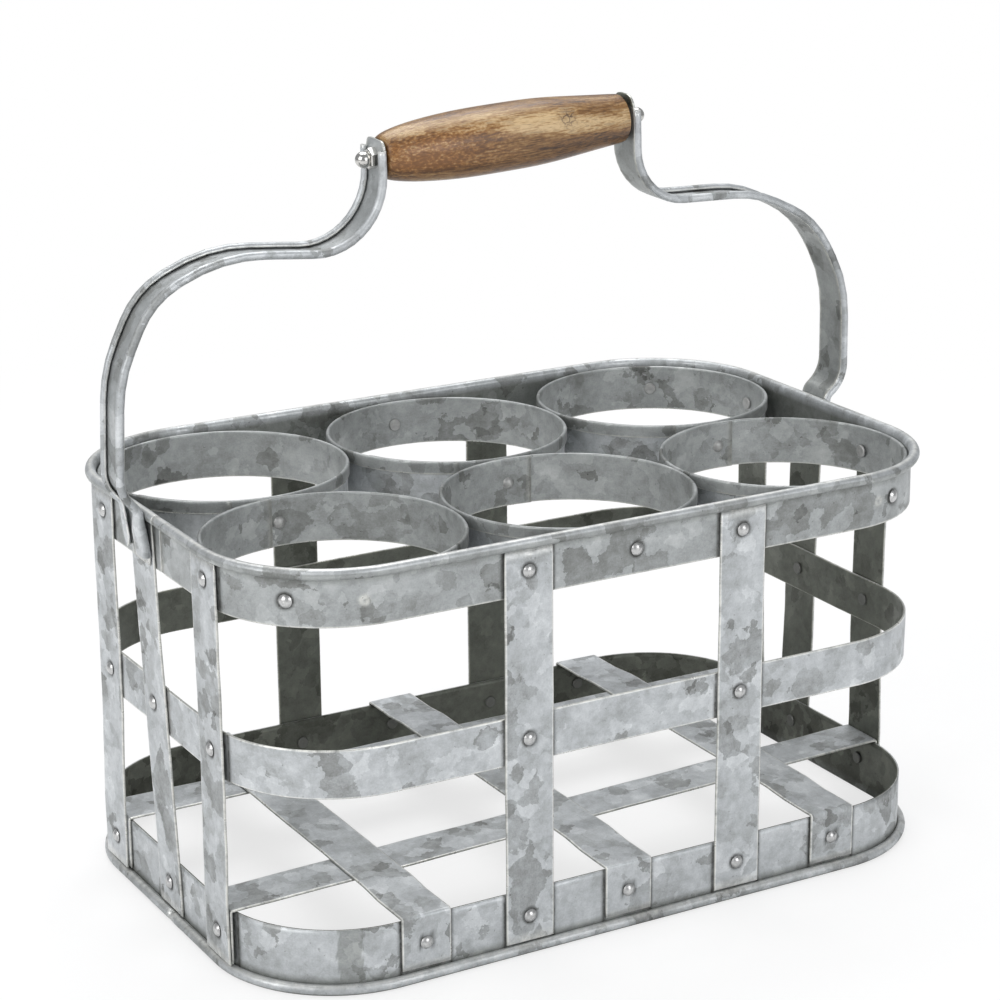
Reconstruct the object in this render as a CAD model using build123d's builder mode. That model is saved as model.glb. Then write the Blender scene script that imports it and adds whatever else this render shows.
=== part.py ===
from build123d import *
import math
import os

# Six-cup bottle caddy in galvanised sheet steel, with a turned wooden grip.
# Millimetres. X runs along the caddy, -Y is its front, +Z is up, the floor is Z = 0.

os.makedirs("parts", exist_ok=True)

# Plan of the bands, taken on their inner faces
half_length = 146.4
half_width = 94.55
corner_radius = 47.2
sheet = 1.0                 # bands and straps are cut from one gauge
seam_y = -6.5               # where the two ends of each band meet, on the left end
seam_gap = 0.3

# Heights of the three bands
base_top = 25.0
middle_low = 75.0
middle_high = 93.5
rim_low = 138.5
rim_bead_z = 158.5          # centre of the rolled rim

# Rolled beads on the rim and on the foot
bead_radius = 2.1
bead_turn = 290.0           # degrees of roll after the sheet leaves the wall
foot_flat = 0.15            # worn off the foot bead, so that it stands flat
foot_bead_z = bead_radius - foot_flat

# Straps
strap_width = 20.0
end_strap_width = 20.5
strap_low = 4.6
strap_high = 156.2
strap_x = 45.5              # the front and back straps stand at -45.5 and +45.5

# Rivets
rivet_top_z = 148.0
rivet_middle_z = 84.3
rivet_base_z = 14.6
shank_radius = 1.3
hole_radius = 1.35
head_radius = 2.5
head_height = 1.3
tail_radius = 2.5
tail_height = 0.8

# Cup rings: six slightly oval hoops in two rows of three
cup_pitch = 97.6
cup_y = 47.3
cup_wall_x = 47.85          # outer half-axes of the wall
cup_wall_y = 46.35
cup_sheet = 0.8
cup_low = 138.8
cup_high = 157.8
cup_hem = 5.0               # the top edge is folded outward and down by this much
cup_lap = 0.9               # step where the hoop's inner end lies over its start

# Floor straps
floor_strap_width = 20.0
floor_flap_low = 5.0
cross_flap_low = 5.2

# Handle. Its two arms stand upright in a frame of their own, which leans forward on the feet;
# heights in that frame are measured from the handle's foot line.
handle_place = Location((0, 7.6, 140), (2.0, 0, 0))
arm_width = 17.6
arm_sheet = 0.9
arm_roll = 1.65             # outer radius of the rolled edges
arm_roll_hollow = 0.75
arm_foot_x = half_length + 2 * sheet + arm_sheet / 2
rod_x = 1.55                # the rod's middle, and its slope: the right end is the higher
rod_height = 142.2
rod_tilt = 2.785
rod_radius = 2.0
tab_along = 53.5            # the arms' upright tabs, measured along the rod
tongue_width = 13.6
grip_bore = 2.08
arm_hole = 2.05
nut_bore = 2.03
nut_flats = 7.0
nut_hex_height = 3.2
nut_dome_radius = 3.1


# Bands. Each is one strip bent round the rounded rectangle and swept from seam to seam.
outward_start = Plane(origin=(-half_length, seam_y + seam_gap / 2, 0), x_dir=(-1, 0, 0), z_dir=(0, 1, 0))

with BuildLine() as band_path:
    FilletPolyline(
        (-half_length, seam_y + seam_gap / 2),
        (-half_length, half_width),
        (half_length, half_width),
        (half_length, -half_width),
        (-half_length, -half_width),
        (-half_length, seam_y - seam_gap / 2),
        radius=corner_radius,
    )

# Where the rivets of each level go: (x, y, outward x, outward y)
face_places = []
for x in (-strap_x, strap_x):
    for out in (-1, 1):
        face_places.append((x, out * half_width, 0, out))

# End straps as (side, name, centre at the top, centre at the foot, rivets' Y at the three levels).
# They were set by hand: the middle ones lean, and the left and right ends differ.
end_straps = (
    (-1, "left_end_strap_rear", 47.0, 47.0, (46.5, 46.5, 46.5)),
    (-1, "left_end_strap_middle", 9.5, -4.2, (None, 5.0, -3.0)),
    (-1, "left_end_strap_front", -45.6, -49.2, (-46.0, -47.0, -49.0)),
    (1, "right_end_strap_rear", 45.0, 45.0, (45.0, 45.0, 45.0)),
    (1, "right_end_strap_middle", 6.0, 10.3, (None, 8.0, 10.0)),
    (1, "right_end_strap_front", -38.6, -38.0, (-37.6, -37.4, -37.4)),
)

# The rings are also riveted to the rim at the corners: (side x, side y, angle round the corner)
corner_places = []
for side_x, side_y, turn in ((-1, -1, 45), (1, -1, 68), (-1, 1, 50), (1, 1, 60)):
    out_x = side_x * math.cos(math.radians(turn))
    out_y = side_y * math.sin(math.radians(turn))
    corner_x = side_x * (half_length - corner_radius) + corner_radius * out_x
    corner_y = side_y * (half_width - corner_radius) + corner_radius * out_y
    corner_places.append((corner_x, corner_y, out_x, out_y))
ring_places = corner_places + [(0, -half_width, 0, -1), (0, half_width, 0, 1)]

with BuildPart() as rim_band:
    with BuildSketch(outward_start):
        with BuildLine():
            Polyline((0, rim_bead_z), (0, rim_low), (sheet, rim_low), (sheet, rim_bead_z))
            outer = CenterArc((bead_radius, rim_bead_z), bead_radius, 180, -bead_turn)
            inner = CenterArc((bead_radius, rim_bead_z), bead_radius - sheet, 180, -bead_turn)
            Line(outer @ 1, inner @ 1)
        make_face()
    sweep(path=band_path.line)
    with BuildSketch(Plane.XZ):
        with Locations((-strap_x, rivet_top_z), (strap_x, rivet_top_z), (0, rivet_top_z)):
            Circle(hole_radius)
    extrude(amount=2 * half_width, both=True, mode=Mode.SUBTRACT)
    for side, name, top_y, foot_y, rivet_ys in end_straps:
        if rivet_ys[0] is not None:
            with BuildSketch(Plane.YZ):
                with Locations((rivet_ys[0], rivet_top_z)):
                    Circle(hole_radius)
            extrude(amount=side * 2 * half_length, mode=Mode.SUBTRACT)
    for x, y, out_x, out_y in corner_places:
        with BuildSketch(Plane(origin=(x, y, rivet_top_z), z_dir=(out_x, out_y, 0))):
            Circle(hole_radius)
        extrude(amount=4 * sheet, both=True, mode=Mode.SUBTRACT)
rim_band.part.label = "rim_band"
export_step(rim_band.part, "parts/rim_band.step")

with BuildPart() as middle_band:
    with BuildSketch(outward_start):
        with Locations((sheet / 2, (middle_low + middle_high) / 2)):
            Rectangle(sheet, middle_high - middle_low)
    sweep(path=band_path.line)
    with BuildSketch(Plane.XZ):
        with Locations((-strap_x, rivet_middle_z), (strap_x, rivet_middle_z)):
            Circle(hole_radius)
    extrude(amount=2 * half_width, both=True, mode=Mode.SUBTRACT)
    for side, name, top_y, foot_y, rivet_ys in end_straps:
        with BuildSketch(Plane.YZ):
            with Locations((rivet_ys[1], rivet_middle_z)):
                Circle(hole_radius)
        extrude(amount=side * 2 * half_length, mode=Mode.SUBTRACT)
middle_band.part.label = "middle_band"
export_step(middle_band.part, "parts/middle_band.step")

# Floor straps as (name, centre X) and (name, centre Y at the left end, centre Y at the right end)
cross_straps = (("left", -88.5), ("middle", -3.0), ("right", 90.0))
long_straps = (("front", -49.5, -38.0), ("rear", 45.0, 44.0))

with BuildPart() as base_band:
    with BuildSketch(outward_start):
        with BuildLine():
            Polyline((0, foot_bead_z), (0, base_top), (sheet, base_top), (sheet, foot_bead_z))
            outer = CenterArc((bead_radius, foot_bead_z), bead_radius, 180, bead_turn)
            inner = CenterArc((bead_radius, foot_bead_z), bead_radius - sheet, 180, bead_turn)
            Line(outer @ 1, inner @ 1)
        make_face()
    sweep(path=band_path.line)
    with BuildSketch(Plane.XY):
        Rectangle(3 * half_length, 3 * half_width)
    extrude(amount=-bead_radius, mode=Mode.SUBTRACT)
    with BuildSketch(Plane.XZ):
        with Locations((-strap_x, rivet_base_z), (strap_x, rivet_base_z)):
            Circle(hole_radius)
        for name, x in cross_straps:
            with Locations((x, rivet_base_z)):
                Circle(hole_radius)
    extrude(amount=2 * half_width, both=True, mode=Mode.SUBTRACT)
    for side, name, top_y, foot_y, rivet_ys in end_straps:
        with BuildSketch(Plane.YZ):
            with Locations((rivet_ys[2], rivet_base_z)):
                Circle(hole_radius)
        extrude(amount=side * 2 * half_length, mode=Mode.SUBTRACT)
base_band.part.label = "base_band"
export_step(base_band.part, "parts/base_band.step")


# Front and back straps: flat strips over the outside of all three bands.
for face, out in (("front", -1), ("back", 1)):
    for side, x in (("left", -strap_x), ("right", strap_x)):
        with BuildPart() as strap:
            with BuildSketch(Plane.XZ.offset(-out * (half_width + sheet))):
                with Locations((x, (strap_low + strap_high) / 2)):
                    Rectangle(strap_width, strap_high - strap_low)
                with Locations((x, rivet_top_z), (x, rivet_middle_z), (x, rivet_base_z)):
                    Circle(hole_radius, mode=Mode.SUBTRACT)
            extrude(amount=-out * sheet)
        strap.part.label = f"{face}_strap_{side}"
        export_step(strap.part, f"parts/{face}_strap_{side}.step")


# End straps: the outer ones step out by one sheet to pass over the floor straps' flaps.
joggle_high = 70.0
joggle_low = 30.0
wall = half_length + sheet

for side, name, top_y, foot_y, rivet_ys in end_straps:
    step = 0 if "middle" in name else sheet
    with BuildPart() as strap:
        with BuildSketch(Plane.XZ):
            with BuildLine():
                Polyline(
                    (side * wall, strap_high),
                    (side * wall, joggle_high),
                    (side * (wall + step), joggle_low),
                    (side * (wall + step), strap_low),
                    (side * (wall + step + sheet), strap_low),
                    (side * (wall + step + sheet), joggle_low),
                    (side * (wall + sheet), joggle_high),
                    (side * (wall + sheet), strap_high),
                    close=True,
                )
            make_face()
        extrude(amount=half_width, both=True)
        with BuildSketch(Plane.YZ):
            with BuildLine():
                Polyline(
                    (top_y - end_strap_width / 2, strap_high),
                    (top_y + end_strap_width / 2, strap_high),
                    (foot_y + end_strap_width / 2, strap_low),
                    (foot_y - end_strap_width / 2, strap_low),
                    close=True,
                )
            make_face()
            for y, z in zip(rivet_ys, (rivet_top_z, rivet_middle_z, rivet_base_z)):
                if y is not None:
                    with Locations((y, z)):
                        Circle(hole_radius, mode=Mode.SUBTRACT)
        extrude(amount=side * 2 * half_length, mode=Mode.INTERSECT)
    strap.part.label = name
    export_step(strap.part, f"parts/{name}.step")


# Long floor straps lie on the top edge of the base band, with flaps folded down outside it.
fold = 1.0                  # outer radius of the fold

for name, left_y, right_y in long_straps:
    run = 2 * (wall + sheet)
    slope = math.degrees(math.atan2(right_y - left_y, run))
    with BuildPart() as strap:
        with BuildSketch(Plane.XZ):
            with BuildLine():
                FilletPolyline(
                    (-wall - sheet, floor_flap_low),
                    (-wall - sheet, base_top + sheet),
                    (wall + sheet, base_top + sheet),
                    (wall + sheet, floor_flap_low),
                    radius=fold,
                )
                Polyline(
                    (wall + sheet, floor_flap_low),
                    (wall, floor_flap_low),
                    (wall, base_top),
                    (-wall, base_top),
                    (-wall, floor_flap_low),
                    (-wall - sheet, floor_flap_low),
                )
            make_face()
        extrude(amount=half_width, both=True)
        with BuildSketch(Plane.XY):
            with Locations(Location((0, (left_y + right_y) / 2), slope)):
                Rectangle(run + 20, floor_strap_width)
        extrude(amount=2 * base_top, mode=Mode.INTERSECT)
        for side, end_name, top_y, foot_y, rivet_ys in end_straps:
            if end_name.endswith(name):
                with BuildSketch(Plane.YZ):
                    with Locations((rivet_ys[2], rivet_base_z)):
                        Circle(hole_radius)
                extrude(amount=side * 2 * half_length, mode=Mode.SUBTRACT)
    strap.part.label = f"floor_long_strap_{name}"
    export_step(strap.part, f"parts/floor_long_strap_{name}.step")

# Cross straps lie over the long ones, dip to the band's edge and fold down over front and back.
dip_inner = 66.0
dip_outer = 78.0
face = half_width + sheet

for name, x in cross_straps:
    with BuildPart() as strap:
        with BuildSketch(Plane.YZ.offset(x - floor_strap_width / 2)):
            with BuildLine():
                FilletPolyline(
                    (-face - sheet, cross_flap_low),
                    (-face - sheet, base_top + sheet),
                    (-dip_outer, base_top + sheet),
                    (-dip_inner, base_top + 2 * sheet),
                    (dip_inner, base_top + 2 * sheet),
                    (dip_outer, base_top + sheet),
                    (face + sheet, base_top + sheet),
                    (face + sheet, cross_flap_low),
                    radius=fold,
                )
                Polyline(
                    (face + sheet, cross_flap_low),
                    (face, cross_flap_low),
                    (face, base_top),
                    (dip_outer, base_top),
                    (dip_inner, base_top + sheet),
                    (-dip_inner, base_top + sheet),
                    (-dip_outer, base_top),
                    (-face, base_top),
                    (-face, cross_flap_low),
                    (-face - sheet, cross_flap_low),
                )
            make_face()
        extrude(amount=floor_strap_width)
        with BuildSketch(Plane.XZ):
            with Locations((x, rivet_base_z)):
                Circle(hole_radius)
        extrude(amount=2 * half_width, both=True, mode=Mode.SUBTRACT)
    strap.part.label = f"floor_cross_strap_{name}"
    export_step(strap.part, f"parts/floor_cross_strap_{name}.step")


# Cup rings as (name, centre X, centre Y, angle of the lap's visible step)
cup_rings = (
    ("front_left", -cup_pitch, -cup_y, 94),
    ("front_middle", 0, -cup_y, 78),
    ("front_right", cup_pitch, -cup_y, 82),
    ("rear_left", -cup_pitch, cup_y, 204),
    ("rear_middle", 0, cup_y, 202),
    ("rear_right", cup_pitch, cup_y, 205),
)
inner_x = cup_wall_x - cup_sheet
inner_y = cup_wall_y - cup_sheet
lap_sector = 48.0

for name, x, y, seam in cup_rings:
    with BuildPart() as ring:
        with BuildSketch(Plane.XY.offset(cup_low)):
            with Locations((x, y)):
                Ellipse(cup_wall_x, cup_wall_y)
                Ellipse(inner_x, inner_y, mode=Mode.SUBTRACT)
        extrude(amount=cup_high - cup_low)
        with BuildSketch(Plane.XY.offset(cup_high - cup_hem)):
            with Locations((x, y)):
                Ellipse(cup_wall_x + cup_sheet, cup_wall_y + cup_sheet)
                Ellipse(inner_x, inner_y, mode=Mode.SUBTRACT)
        extrude(amount=cup_hem)
        fillet(ring.edges().group_by(Axis.Z)[-1], radius=0.95 * cup_sheet)
        # the hoop's inner end, which tapers away round the inside from its step
        lap_turn = math.radians(seam - 42)
        step_turn = math.radians(seam)
        end_turn = math.radians(seam + lap_sector)
        reach = 2 * cup_wall_x
        with BuildSketch(Plane.XY.offset(cup_low)):
            with Locations((x, y)):
                Ellipse(inner_x + 0.2, inner_y + 0.2)
            with Locations((x - cup_lap * math.cos(lap_turn), y - cup_lap * math.sin(lap_turn))):
                Ellipse(inner_x, inner_y, mode=Mode.SUBTRACT)
            with BuildLine():
                Polyline(
                    (x, y),
                    (x + reach * math.cos(step_turn), y + reach * math.sin(step_turn)),
                    (x + reach * math.cos(end_turn), y + reach * math.sin(end_turn)),
                    close=True,
                )
            make_face(mode=Mode.INTERSECT)
        extrude(amount=cup_high - cup_low - cup_sheet)
        # holes for the rivets to the rim, to the end straps and to the ring in the other row
        for rivet_x, rivet_y, out_x, out_y in ring_places:
            if abs(rivet_x - x) < cup_wall_x and abs(rivet_y - y) < cup_wall_x:
                with BuildSketch(Plane(origin=(rivet_x, rivet_y, rivet_top_z), z_dir=(out_x, out_y, 0))):
                    Circle(hole_radius)
                extrude(amount=6 * sheet, both=True, mode=Mode.SUBTRACT)
        for side, end_name, top_y, foot_y, rivet_ys in end_straps:
            if side * x > 0 and rivet_ys[0] is not None and rivet_ys[0] * y > 0:
                with BuildSketch(Plane.YZ.offset(x)):
                    with Locations((rivet_ys[0], rivet_top_z)):
                        Circle(hole_radius)
                extrude(amount=side * half_length, mode=Mode.SUBTRACT)
        with BuildSketch(Plane.XZ):
            with Locations((x, rivet_top_z)):
                Circle(hole_radius)
        extrude(amount=6 * sheet, both=True, mode=Mode.SUBTRACT)
    ring.part.label = f"cup_ring_{name}"
    export_step(ring.part, f"parts/cup_ring_{name}.step")


# Handle arms: each is one strip with both edges rolled outward, bent from the foot to the tab.
# (side, name, corners (x, height), bend radii, foot of the tab, top and corner of its tongue)
arms = (
    (-1, "handle_arm_left",
     ((148.85, -0.5), (148.85, 3.5), (151.75, 21.8), (158.2, 29.4), (156.8, 71.0), (144.3, 97.7), (117.6, 110.7)),
     (6, 6, 12, 53.6, 30.1, 59.9, 26.7), -35.9, 7.5, 3.0),
    (1, "handle_arm_right",
     ((148.85, -0.5), (148.85, 3.5), (151.75, 21.8), (159.2, 27.6), (157.7, 67.5), (141.0, 95.9), (112.9, 109.4)),
     (6, 6, 12.6, 54.3, 43.0, 49.8, 24.0), -33.6, 9.8, 5.0),
)
tilt = math.radians(rod_tilt)
across_rod = Plane(origin=(rod_x, 0, rod_height), x_dir=(0, 1, 0), z_dir=(math.cos(tilt), 0, math.sin(tilt)))
roll_stop = 4.2             # the rolled edges end this far above the rod
edge = arm_width / 2 - arm_roll
roll_mid = arm_roll - arm_sheet / 2

for side, name, corners, bends, tab_foot, tongue_top, tongue_corner in arms:
    with BuildLine() as arm_path:
        FilletPolyline(
            *[(side * x, 0, height) for x, height in corners],
            across_rod.offset(side * tab_along).from_local_coords((0, tab_foot, 0)),
            across_rod.offset(side * tab_along).from_local_coords((0, roll_stop, 0)),
            radius=list(bends),
        )
    with BuildPart() as arm:
        with BuildSketch(Plane(origin=(side * arm_foot_x, 0, corners[0][1]), x_dir=(0, side, 0), z_dir=(0, 0, 1))):
            # local y is inward here, so the rolls are drawn on the negative side
            Rectangle(2 * edge, arm_sheet)
            with Locations((-edge, -roll_mid), (edge, -roll_mid)):
                Circle(arm_roll)
                Circle(arm_roll_hollow, mode=Mode.SUBTRACT)
            # the gap between the roll's lip and the web
            with Locations((-edge + 1.2, -roll_mid - 0.1), (edge - 1.2, -roll_mid - 0.1)):
                Rectangle(1.3, 0.5, mode=Mode.SUBTRACT)
        sweep(path=arm_path.line)
        # the flat tongue that stands above the rolls
        with BuildSketch(across_rod.offset(side * tab_along - arm_sheet / 2)):
            with Locations((0, tongue_top / 2)):
                tongue = Rectangle(tongue_width, tongue_top)
            fillet(tongue.vertices().group_by(Axis.Y)[-1], radius=tongue_corner)
        extrude(amount=arm_sheet)
        with BuildSketch(across_rod.offset(side * tab_along)):
            Circle(arm_hole)
        extrude(amount=2, both=True, mode=Mode.SUBTRACT)
    arm.part.move(handle_place)
    arm.part.label = name
    export_step(arm.part, f"parts/{name}.step")


# Grip: one turned piece, thinner at its left end, bored for the rod. The grip, the rod and the
# nuts are drawn along X and then set on the rod's own line.
rod_place = handle_place * Location((rod_x, 0, rod_height), (0, -rod_tilt, 0))
grip_left = -52.2
grip_right = 51.2

with BuildPart() as grip:
    with BuildSketch(Plane.XZ):
        with BuildLine():
            Polyline((grip_left, grip_bore), (grip_left, 7.9), (grip_left + 0.9, 8.9))
            Spline(
                (grip_left + 0.9, 8.9),
                (-40, 10.95),
                (-22, 12.6),
                (-4, 12.9),
                (12, 12.75),
                (27, 11.65),
                (42, 10.2),
                (grip_right - 0.6, 9.4),
            )
            Polyline(
                (grip_right - 0.6, 9.4),
                (grip_right, 8.9),
                (grip_right, grip_bore),
                (grip_left, grip_bore),
            )
        make_face()
    revolve(axis=Axis.X)
grip.part.move(rod_place)
grip.part.label = "grip"
export_step(grip.part, "parts/grip.step")

# Rod: runs through both tabs and the grip into the two dome nuts.
nut_face = tab_along + arm_sheet / 2
dome_x = nut_face + nut_hex_height + 1.7
rod_end = dome_x + 0.7

with BuildPart() as grip_rod:
    with BuildSketch(Plane.YZ.offset(-rod_end)):
        Circle(rod_radius)
    extrude(amount=2 * rod_end)
    chamfer(grip_rod.edges(), length=0.3)
grip_rod.part.move(rod_place)
grip_rod.part.label = "grip_rod"
export_step(grip_rod.part, "parts/grip_rod.step")

for name, turn in (("dome_nut_right", 0), ("dome_nut_left", 180)):
    with BuildPart() as nut:
        with BuildSketch(Plane.YZ.offset(nut_face)):
            RegularPolygon(nut_flats / 2, 6, major_radius=False, rotation=30)
        extrude(amount=nut_hex_height)
        chamfer(nut.faces().sort_by(Axis.X)[-1].edges(), length=0.35)
        with BuildSketch(Plane.XZ):
            with BuildLine():
                half_chord = nut_dome_radius * math.cos(math.radians(35))
                shoulder = dome_x - nut_dome_radius * math.sin(math.radians(35))
                ThreePointArc((shoulder, half_chord), (dome_x, nut_dome_radius), (dome_x + nut_dome_radius, 0))
                Polyline(
                    (dome_x + nut_dome_radius, 0),
                    (nut_face + 1, 0),
                    (nut_face + 1, half_chord),
                    (shoulder, half_chord),
                )
            make_face()
        revolve(axis=Axis.X)
        with BuildSketch(Plane.YZ.offset(nut_face)):
            Circle(nut_bore)
        extrude(amount=rod_end + 0.3 - nut_face, mode=Mode.SUBTRACT)
    nut.part.move(rod_place * Location((0, 0, 0), (0, 0, turn)))
    nut.part.label = name
    export_step(nut.part, f"parts/{name}.step")


# Rivets, a group for each place: a low domed head outside, a shank, and a flat tail inside.
# Each is (x, y, z, outward x, outward y, thickness of the stack), with x and y under the tail.
dome = (head_radius ** 2 + head_height ** 2) / (2 * head_height)
dome_part = 0.6 * head_radius
dome_rise = math.sqrt(dome ** 2 - dome_part ** 2) - (dome - head_height)
hollow = 0.1                # a flat tail or head spans this much of the curve it lies on

rim_rivets = [(x, y, rivet_top_z, ox, oy, 2 * sheet) for x, y, ox, oy in face_places]
middle_rivets = [(x, y, rivet_middle_z, ox, oy, 2 * sheet) for x, y, ox, oy in face_places]
base_rivets = [(x, y, rivet_base_z, ox, oy, 2 * sheet) for x, y, ox, oy in face_places]
for side, name, top_y, foot_y, rivet_ys in end_straps:
    if rivet_ys[0] is not None:
        # the tail bears on the ring where the ring stands furthest in under it
        gap = 0.0
        for y in (rivet_ys[0] - tail_radius, rivet_ys[0] + tail_radius):
            away = (abs(y) - cup_y) / inner_y
            gap = max(gap, half_length - cup_pitch - inner_x * math.sqrt(1 - away ** 2))
        place = (side * (half_length - gap), rivet_ys[0], rivet_top_z, side, 0, 2 * sheet + gap)
        rim_rivets.append(place)
    stack = 2 * sheet if "middle" in name else 3 * sheet
    for places, y, z, thickness in (
        (middle_rivets, rivet_ys[1], rivet_middle_z, 2 * sheet),
        (base_rivets, rivet_ys[2], rivet_base_z, stack),
    ):
        # near the corners the band has begun to curve away from the flat strap
        bend = max(0.0, abs(y) + tail_radius - (half_width - corner_radius))
        sag = corner_radius - math.sqrt(corner_radius ** 2 - bend ** 2)
        places.append((side * (half_length - sag), y, z, side, 0, thickness + sag))

ring_rivets = []
for x, y, ox, oy in ring_places:
    # how far the ring's inner face lies inside the band's, measured along the rivet
    centre_x = 0 if x == 0 else math.copysign(cup_pitch, x)
    centre_y = math.copysign(cup_y, y)
    gap = hollow
    while ((x - gap * ox - centre_x) / inner_x) ** 2 + ((y - gap * oy - centre_y) / inner_y) ** 2 > 1:
        gap += 0.01
    gap += hollow
    ring_rivets.append((x - gap * ox, y - gap * oy, rivet_top_z, ox, oy, sheet + gap))

# Front and rear rings are riveted to each other where they meet, through a lap if it reaches there.
pair_inner = cup_y - inner_y + hollow
ring_pair_rivets = []
for name, x, y, seam in cup_rings:
    if y < 0:
        lap = 0.0
        if seam < 90:
            lap = cup_lap * math.cos(math.radians(87 - seam + 42)) + hollow
        ring_pair_rivets.append((x, pair_inner, rivet_top_z, 0, -1, 2 * pair_inner + lap))

floor_strap_rivets = []
for name, x in cross_straps:
    for out in (-1, 1):
        floor_strap_rivets.append((x, out * half_width, rivet_base_z, 0, out, 2 * sheet))

rivet_groups = (
    ("rim_rivets", rim_rivets),
    ("ring_rivets", ring_rivets),
    ("ring_pair_rivets", ring_pair_rivets),
    ("middle_rivets", middle_rivets),
    ("base_rivets", base_rivets),
    ("floor_strap_rivets", floor_strap_rivets),
)
for name, places in rivet_groups:
    with BuildPart() as rivets:
        for x, y, z, out_x, out_y, stack in places:
            with BuildSketch(Plane(origin=(x, y, z), x_dir=(out_x, out_y, 0), z_dir=(out_y, -out_x, 0))):
                with BuildLine():
                    Polyline(
                        (stack + head_height, 0),
                        (-tail_height, 0),
                        (-tail_height, tail_radius - 0.3),
                        (-tail_height + 0.3, tail_radius),
                        (0, tail_radius),
                        (0, shank_radius),
                        (stack, shank_radius),
                        (stack, head_radius),
                    )
                    ThreePointArc(
                        (stack, head_radius),
                        (stack + dome_rise, dome_part),
                        (stack + head_height, 0),
                    )
                make_face()
            revolve(axis=Axis((x, y, z), (out_x, out_y, 0)))
    rivets.part.label = name
    export_step(rivets.part, f"parts/{name}.step")
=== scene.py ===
import math

import bmesh
import bpy
from mathutils import Matrix, Vector, noise


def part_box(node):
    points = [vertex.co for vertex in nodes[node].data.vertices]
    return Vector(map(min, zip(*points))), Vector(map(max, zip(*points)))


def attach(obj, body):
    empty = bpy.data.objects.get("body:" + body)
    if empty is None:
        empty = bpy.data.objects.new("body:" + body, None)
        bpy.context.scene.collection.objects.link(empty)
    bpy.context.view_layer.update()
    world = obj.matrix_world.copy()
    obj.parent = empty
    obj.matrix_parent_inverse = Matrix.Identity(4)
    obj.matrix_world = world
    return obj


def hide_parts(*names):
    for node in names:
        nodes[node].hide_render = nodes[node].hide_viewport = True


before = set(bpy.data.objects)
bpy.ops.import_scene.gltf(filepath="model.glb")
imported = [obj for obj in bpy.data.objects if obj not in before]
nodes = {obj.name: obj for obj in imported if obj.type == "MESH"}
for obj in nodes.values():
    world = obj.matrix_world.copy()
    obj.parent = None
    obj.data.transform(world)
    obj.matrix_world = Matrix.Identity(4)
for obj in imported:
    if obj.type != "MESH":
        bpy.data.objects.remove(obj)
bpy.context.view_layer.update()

mm = 0.001


# Studio. The camera is the photograph's: a long lens, above and to the left. Three broad soft
# lamps stand round the caddy, one high on the left, a weaker one in front and one overhead.
scene = bpy.context.scene
scene.view_settings.view_transform = "Standard"

camera_place = Vector((-0.5123, -0.8990, 0.4683))
camera_azimuth = math.radians(29.56)
camera_elevation = math.radians(17.58)
camera_roll = math.radians(-0.40)
focal_pixels = 2792.1
picture_pixels = 1000.0
film_width = 36.0

ahead = Vector((
    math.sin(camera_azimuth) * math.cos(camera_elevation),
    math.cos(camera_azimuth) * math.cos(camera_elevation),
    -math.sin(camera_elevation),
))
level = Vector((math.cos(camera_azimuth), -math.sin(camera_azimuth), 0.0))
upright = level.cross(ahead)
camera_right = math.cos(camera_roll) * level + math.sin(camera_roll) * upright
camera_up = -math.sin(camera_roll) * level + math.cos(camera_roll) * upright

camera_data = bpy.data.cameras.new("camera")
camera_data.sensor_width = film_width
camera_data.lens = focal_pixels * film_width / picture_pixels
camera_data.clip_start = 0.05
camera_data.clip_end = 50
camera = bpy.data.objects.new("camera", camera_data)
scene.collection.objects.link(camera)
camera.matrix_world = Matrix.Translation(camera_place) @ Matrix((
    (camera_right.x, camera_up.x, -ahead.x),
    (camera_right.y, camera_up.y, -ahead.y),
    (camera_right.z, camera_up.z, -ahead.z),
)).to_4x4()
scene.camera = camera

lamp_aim = Vector((0, 0, 0.12))
for name, place, size, watts, tint in (
    ("lamp_left", (-1.8, -0.5, 1.1), 1.4, 21.0, (1.0, 0.995, 0.985)),
    ("lamp_front", (0.5, -2.0, 0.9), 1.2, 14.5, (0.99, 0.995, 1.0)),
    ("lamp_top", (0.25, 0.7, 1.9), 1.6, 30.0, (1.0, 1.0, 1.0)),
):
    lamp = bpy.data.lights.new(name, "AREA")
    lamp.size = size
    lamp.energy = watts
    lamp.color = tint
    lamp_head = bpy.data.objects.new(name, lamp)
    scene.collection.objects.link(lamp_head)
    lamp_head.location = place
    lamp_head.rotation_mode = "QUATERNION"
    lamp_head.rotation_quaternion = (lamp_aim - lamp_head.location).to_track_quat("-Z", "Y")


# Floor and room. The room is plain white to the camera and pale grey as a light. The floor is
# matt white, with the caddy's soft shadow on it, and turns plain white farther out.
class Wire:
    """A shader socket that can be reckoned with: each operation adds a Math node."""

    def __init__(self, finish, socket):
        self.finish = finish
        self.socket = socket

    def __add__(self, other):
        return self.finish.math("ADD", self, other)

    def __sub__(self, other):
        return self.finish.math("SUBTRACT", self, other)

    def __rsub__(self, other):
        return self.finish.math("SUBTRACT", other, self)

    def __mul__(self, other):
        return self.finish.math("MULTIPLY", self, other)

    def __truediv__(self, other):
        return self.finish.math("DIVIDE", self, other)

    def __pow__(self, other):
        return self.finish.math("POWER", self, other)

    def __abs__(self):
        return self.finish.math("ABSOLUTE", self)

    __radd__ = __add__
    __rmul__ = __mul__

    def at_least(self, other):
        return self.finish.math("MAXIMUM", self, other)

    def clamp(self):
        return self.finish.math("MINIMUM", self.at_least(0.0), 1.0)

    def above(self, edge, softness):
        """0 below the edge and 1 above it, over the given softness."""
        return ((self - edge) / softness + 0.5).clamp()


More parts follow.
